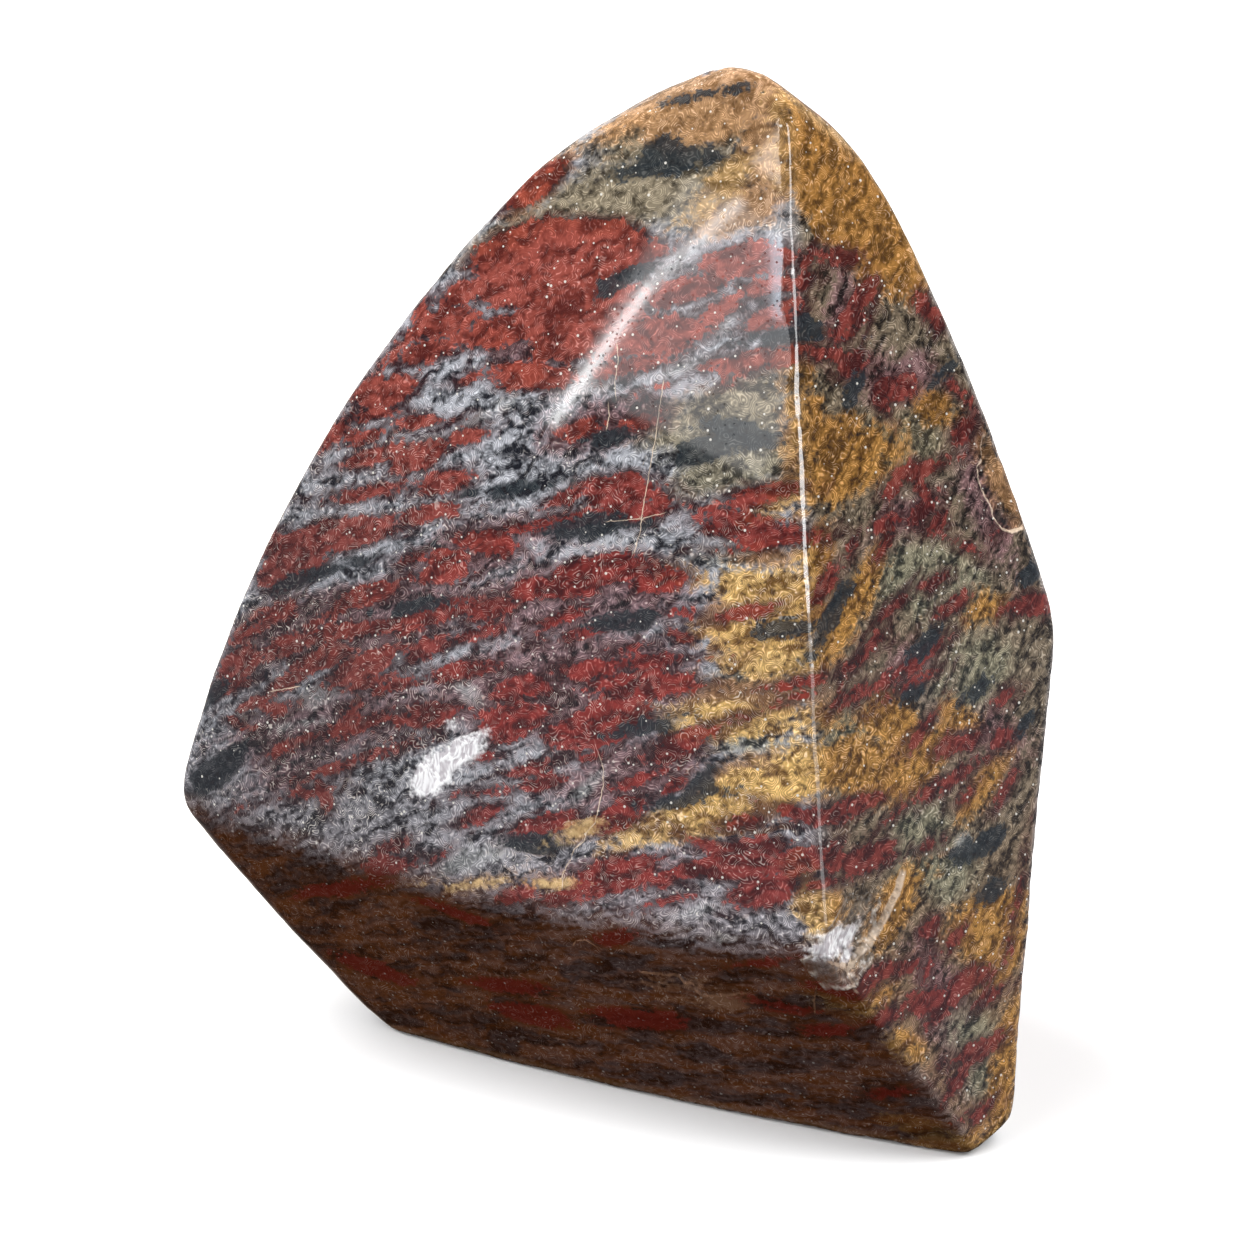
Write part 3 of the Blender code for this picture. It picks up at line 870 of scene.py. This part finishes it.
def with_grain(s, colour):
    """Dark flecks and creases, pale curling lines, partly pale grain and partly painted glints, and small
    white spots that are painted glints.
    """
    calm = s.times(s.rise(s.red, -0.4, 0.3, 1.0, 0.35), s.rise(s.z, 84.0, 100.0, 1.0, 0.5))
    flecks = s.times(s.rise(s.grain, 0.3, 0.43, 0.5, 0.0), s.times(s.open_faces, calm))
    colour = s.mix(flecks, colour, srgb(30, 26, 28))
    rings = s.math("SINE", s.times(s.noise(s.place, 0.5, 1.0, 0.4), CURL_RINGS))
    creases = s.times(s.rise(rings, -1.0, -0.2, 0.34, 0.0), s.times(s.open_faces, calm))
    colour = s.mix(creases, colour, srgb(22, 18, 20))
    strength = s.times(s.rise(s.grain, 0.46, 0.6, 0.12, 1.0), s.rise(s.share["dark"], 0.0, 1.0, 1.0, 0.3))
    # Pale curling lines, brightened and whitened in places: partly pale grain, partly painted glints on the
    # polish.
    curls_and_painted_glints = s.times(s.times(s.rise(rings, 0.4, 1.0), strength), s.open_faces)
    colour = s.mix(s.times(curls_and_painted_glints, 0.9), colour, colour, "ADD")
    sparkle = s.times(s.rise(s.streaks, 0.44, 0.66, 0.2, 0.66), s.rise(s.red, -0.3, 0.2, 1.0, 0.6))
    sparkle = s.times(sparkle, s.rise(s.math("MAXIMUM", s.high, s.on_side), 0.0, 1.0, 1.0, 0.45))
    colour = s.mix(s.times(curls_and_painted_glints, sparkle), colour, srgb(236, 228, 216))
    # Small white spots: painted glints.
    far, own = s.cells(s.place, GLINT_SPECKS_PER_MM)
    size = s.times(s.math("FRACT", s.times(own, 7.3)), LARGEST_GLINT_SPECK)
    painted_glint_specks = s.rise(s.math("SUBTRACT", far, size), -0.05, 0.0, 1.0, 0.0)
    return s.mix(s.times(painted_glint_specks, s.times(s.open_faces, 0.85)), colour, srgb(226, 222, 212))


def with_breaks(s, colour, fresh):
    """Chips, edges that glow, bruises and hairline cracks."""
    broken = s.shades(s.rise(fresh, 0.3, 0.7), "fresh")
    colour = s.mix(s.times(s.field("chip_floor"), 0.12), colour, broken)
    colour = s.mix(s.times(s.field("chip_step"), 0.8), colour, broken)
    colour = s.laid("cream", colour, s.shades(s.grain, "cream"))
    colour = s.laid("bruise", colour, s.shades(s.rise(fresh, 0.36, 0.6), "bruise"))
    wander = s.times(s.math("SUBTRACT", s.grain, 0.5), 0.3)
    off = s.math("ABSOLUTE", s.add(s.field("line_off"), wander))
    line = s.rise(s.math("DIVIDE", off, s.field("line_width")), 0.4, 1.0, 1.0, 0.0)
    line = s.times(line, s.rise(s.field("line_span"), 0.0, 0.6))
    line = s.times(line, s.rise(s.tone, 0.36, 0.56, 0.45, 1.0))
    return s.mix(s.times(line, 0.8), colour, s.mix(s.under, srgb(226, 204, 180), srgb(150, 112, 86)))


def new_material(name):
    """A material, and the shader that carries its look."""
    material = bpy.data.materials.new(name)
    material.use_nodes = True
    return material, material.node_tree.nodes["Principled BSDF"]


def jasper_material():
    material, shader = new_material("jasper")
    s = Jasper(material.node_tree)
    fresh = s.noise(s.moved(s.vectors("MULTIPLY", s.place, (1.8, 1.8, 0.7)), s.swirl, 3.0), 1.2, 1.0, 0.7)
    colour = with_grain(s, with_dark(s, with_red(s, ground_colour(s))))
    s.put(shader.inputs["Base Color"], with_breaks(s, colour, fresh))

    bruise, chip_step = s.share["bruise"], s.field("chip_step")
    rough = s.add(s.times(s.grain, 0.04), s.times(chip_step, 0.35), s.times(bruise, 0.4))
    s.put(shader.inputs["Roughness"], s.add(rough, POLISH, s.times(s.field("chip_floor"), 0.12)))
    shader.inputs["IOR"].default_value = STONE_IOR

    # Tiny pits and broken rims, as heights in mm. Between the pits the polish is smooth.
    far, own = s.cells(s.place, PITS_PER_MM)
    pits = s.rise(far, 0.08, 0.2, s.times(own, -PIT_DEPTH), 0.0)
    broken = s.times(s.times(fresh, 0.12), s.math("MAXIMUM", chip_step, bruise))
    bump = s.made("ShaderNodeBump", {"Height": s.add(pits, broken), "Distance": MM})[0]
    s.put(shader.inputs["Normal"], bump)
    return material


def add_object(name, data):
    made = bpy.data.objects.new(name, data)
    bpy.context.scene.collection.objects.link(made)
    return made


def turn_towards(thing, way):
    """Turns a light or a camera to look along this way."""
    thing.rotation_mode = "QUATERNION"
    thing.rotation_quaternion = Vector(way).to_track_quat("-Z", "Y")


def put_patches(mesh, points, hidden, name, patches, scatter):
    """One kind of patch: placed as in the photo, and scattered over the sides that it doesn't show."""
    scattered = FIELD_FLOOR + hidden * (random_patches(points, *scatter) - FIELD_FLOOR)
    put_field(mesh, name, np.maximum(patch_field(points, patches), scattered))


def make_stone():
    points, triangles = stone_surface()
    mesh = bpy.data.meshes.new("stone_surface")
    mesh.from_pydata((points * MM).tolist(), [], triangles.tolist())
    put_field(mesh, "banding", banding(points))
    hidden = hidden_share(points)
    for name, patches, *scatter in PATCHES:
        put_patches(mesh, points, hidden, name, patches, scatter)
    put_field(mesh, "bruise", patch_field(points, BRUISE))
    put_field(mesh, "cream", patch_field(points, CREAM))
    put_field(mesh, "on_side", face_share(points, "side"))
    put_field(mesh, "under", face_share(points, "undercut"))
    floor, step = fresh_break(points)
    put_field(mesh, "chip_floor", floor)
    put_field(mesh, "chip_step", step)
    for name, field in zip(("line_off", "line_span", "line_width"), line_fields(points)):
        put_field(mesh, name, field)
    mesh.shade_smooth()
    mesh.normals_split_custom_set_from_vertices(normals_at(points).tolist())
    mesh.materials.append(jasper_material())
    stone = add_object("stone_surface", mesh)
    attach(stone, "root")
    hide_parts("stone")


def make_floor():
    mesh = bpy.data.meshes.new("floor")
    corners = [(-FLOOR, -FLOOR, 0.0), (FLOOR, -FLOOR, 0.0), (FLOOR, FLOOR, 0.0), (-FLOOR, FLOOR, 0.0)]
    mesh.from_pydata(corners, [], [(0, 1, 2, 3)])
    material, shader = new_material("floor")
    shader.inputs["Base Color"].default_value = (0.78, 0.78, 0.78, 1.0)
    shader.inputs["Roughness"].default_value = 0.9
    shader.inputs["Specular IOR Level"].default_value = 0.0
    mesh.materials.append(material)
    floor = add_object("floor", mesh)
    # The photo shows no white floor mirrored in the stone.
    floor.visible_glossy = False
    floor.visible_diffuse = False


def place_at(bearing, elevation, away):
    """A place this far from the heart."""
    return HEART + away * way_out(bearing, elevation)


def make_panel(name, place, aim, size, radiance, tint=(1.0, 1.0, 1.0), mirrored=False):
    """A soft rectangular light, in mm. It lights the stone or, when mirrored, only shows in its polish."""
    data = bpy.data.lights.new(name, "AREA")
    data.shape = "RECTANGLE"
    data.size, data.size_y = size[0] * MM, size[1] * MM
    data.energy = radiance * np.pi * data.size * data.size_y
    data.color = tint
    panel = add_object(name, data)
    panel.location = Vector(place) * MM
    turn_towards(panel, aim - place)
    panel.visible_glossy = mirrored
    panel.visible_diffuse = not mirrored
    panel.visible_camera = False
    return panel


def make_streak(name, ends, width, radiance, tint=(1.0, 1.0, 1.0), away=450.0):
    """A light that the polish mirrors as a streak between two photo pixels."""
    first, second = mirror_places(ends, away)
    pixel = np.mean(np.array(ends, float), axis=0, keepdims=True)
    aim, place = photo_places(pixel)[0], (first + second) / 2.0
    length = np.linalg.norm(second - first)
    panel = make_panel(name, place, aim, (width, length), radiance, tint, mirrored=True)
    backwards = Vector(place - aim).normalized()
    along = Vector(second - first)
    along = (along - along.dot(backwards) * backwards).normalized()
    turned = Matrix((along.cross(backwards), along, backwards)).transposed()
    panel.rotation_quaternion = turned.to_quaternion()


def make_world():
    """White behind everything, and a dim even studio for the stone."""
    world = bpy.data.worlds.new("studio")
    bpy.context.scene.world = world
    world.use_nodes = True
    s = Shader(world.node_tree)
    background = world.node_tree.nodes["Background"]
    way = s.made("ShaderNodeTexCoord")["Generated"]
    _, back, height = s.made("ShaderNodeSeparateXYZ", {0: way})
    level = s.mix(s.rise(height, -0.75, -0.3), (0.015, 0.012, 0.01, 1.0), (0.36, 0.36, 0.4, 1.0))
    studio = s.mix(s.rise(height, 0.0, 0.2), level, (0.12, 0.12, 0.13, 1.0))
    studio = s.mix(s.rise(back, 0.6, 0.9), studio, (0.55, 0.46, 0.38, 1.0))
    seen = s.made("ShaderNodeLightPath")["Is Camera Ray"]
    s.put(background.inputs["Color"], s.mix(seen, studio, (1.0, 1.0, 1.0, 1.0)))


def make_sky(name, bearing, elevation, energy):
    """Wide soft light from one side and above. The two together keep the floor evenly white."""
    data = bpy.data.lights.new(name, "SUN")
    data.energy = energy
    data.angle = np.radians(48.0)
    sky = add_object(name, data)
    turn_towards(sky, -way_out(bearing, elevation))
    sky.visible_glossy = False


def make_lights():
    make_sky("sky_left", -102.0, 52.0, 5.2)
    make_sky("sky_right", 94.0, 52.0, 3.8)
    make_panel("fill_left", place_at(-46.0, 26.0, 700.0), HEART, (420.0, 420.0), 4.0)
    make_panel("fill_right", place_at(54.0, 25.0, 650.0), HEART, (360.0, 360.0), 2.2)
    make_panel("ridge_high", place_at(8.0, 19.0, 500.0), HEART, (200.0, 150.0), 13.0, mirrored=True)
    make_panel("ridge_top", place_at(8.0, 36.0, 500.0), HEART, (90.0, 160.0), 9.0, mirrored=True)
    make_panel("ridge_low", place_at(8.0, 1.0, 500.0), HEART, (150.0, 160.0), 3.5, mirrored=True)
    make_streak("streak_high", ((742, 200), (650, 285)), 6.0, 9.0)
    make_streak("streak_low", ((650, 285), (552, 425)), 5.0, 19.0)
    make_streak("veil", ((782, 228), (664, 430)), 100.0, 2.6)
    make_streak("wedge", ((780, 118), (768, 176)), 22.0, 9.0, (1.0, 0.84, 0.7))
    make_streak("blue_spot", ((779, 236), (783, 318)), 9.0, 9.0, (0.74, 0.86, 1.0))


def make_camera():
    data = bpy.data.cameras.new("camera")
    data.lens = LENS
    data.sensor_width = SENSOR
    camera = add_object("camera", data)
    place, _, _, forward = camera_axes()
    camera.location = Vector(place) * MM
    turn_towards(camera, forward)
    data.clip_start, data.clip_end = 0.01, 20.0
    bpy.context.scene.camera = camera


EDGE_CORNERS = edge_corners()
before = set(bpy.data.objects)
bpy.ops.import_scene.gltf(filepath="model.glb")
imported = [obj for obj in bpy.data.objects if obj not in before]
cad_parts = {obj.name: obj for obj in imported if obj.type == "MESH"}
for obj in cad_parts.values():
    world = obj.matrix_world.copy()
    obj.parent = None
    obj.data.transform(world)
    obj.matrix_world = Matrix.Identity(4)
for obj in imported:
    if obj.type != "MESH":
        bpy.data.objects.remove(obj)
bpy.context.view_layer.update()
make_camera()
make_stone()
make_floor()
make_world()
make_lights()
bpy.context.scene.view_settings.view_transform = "Standard"
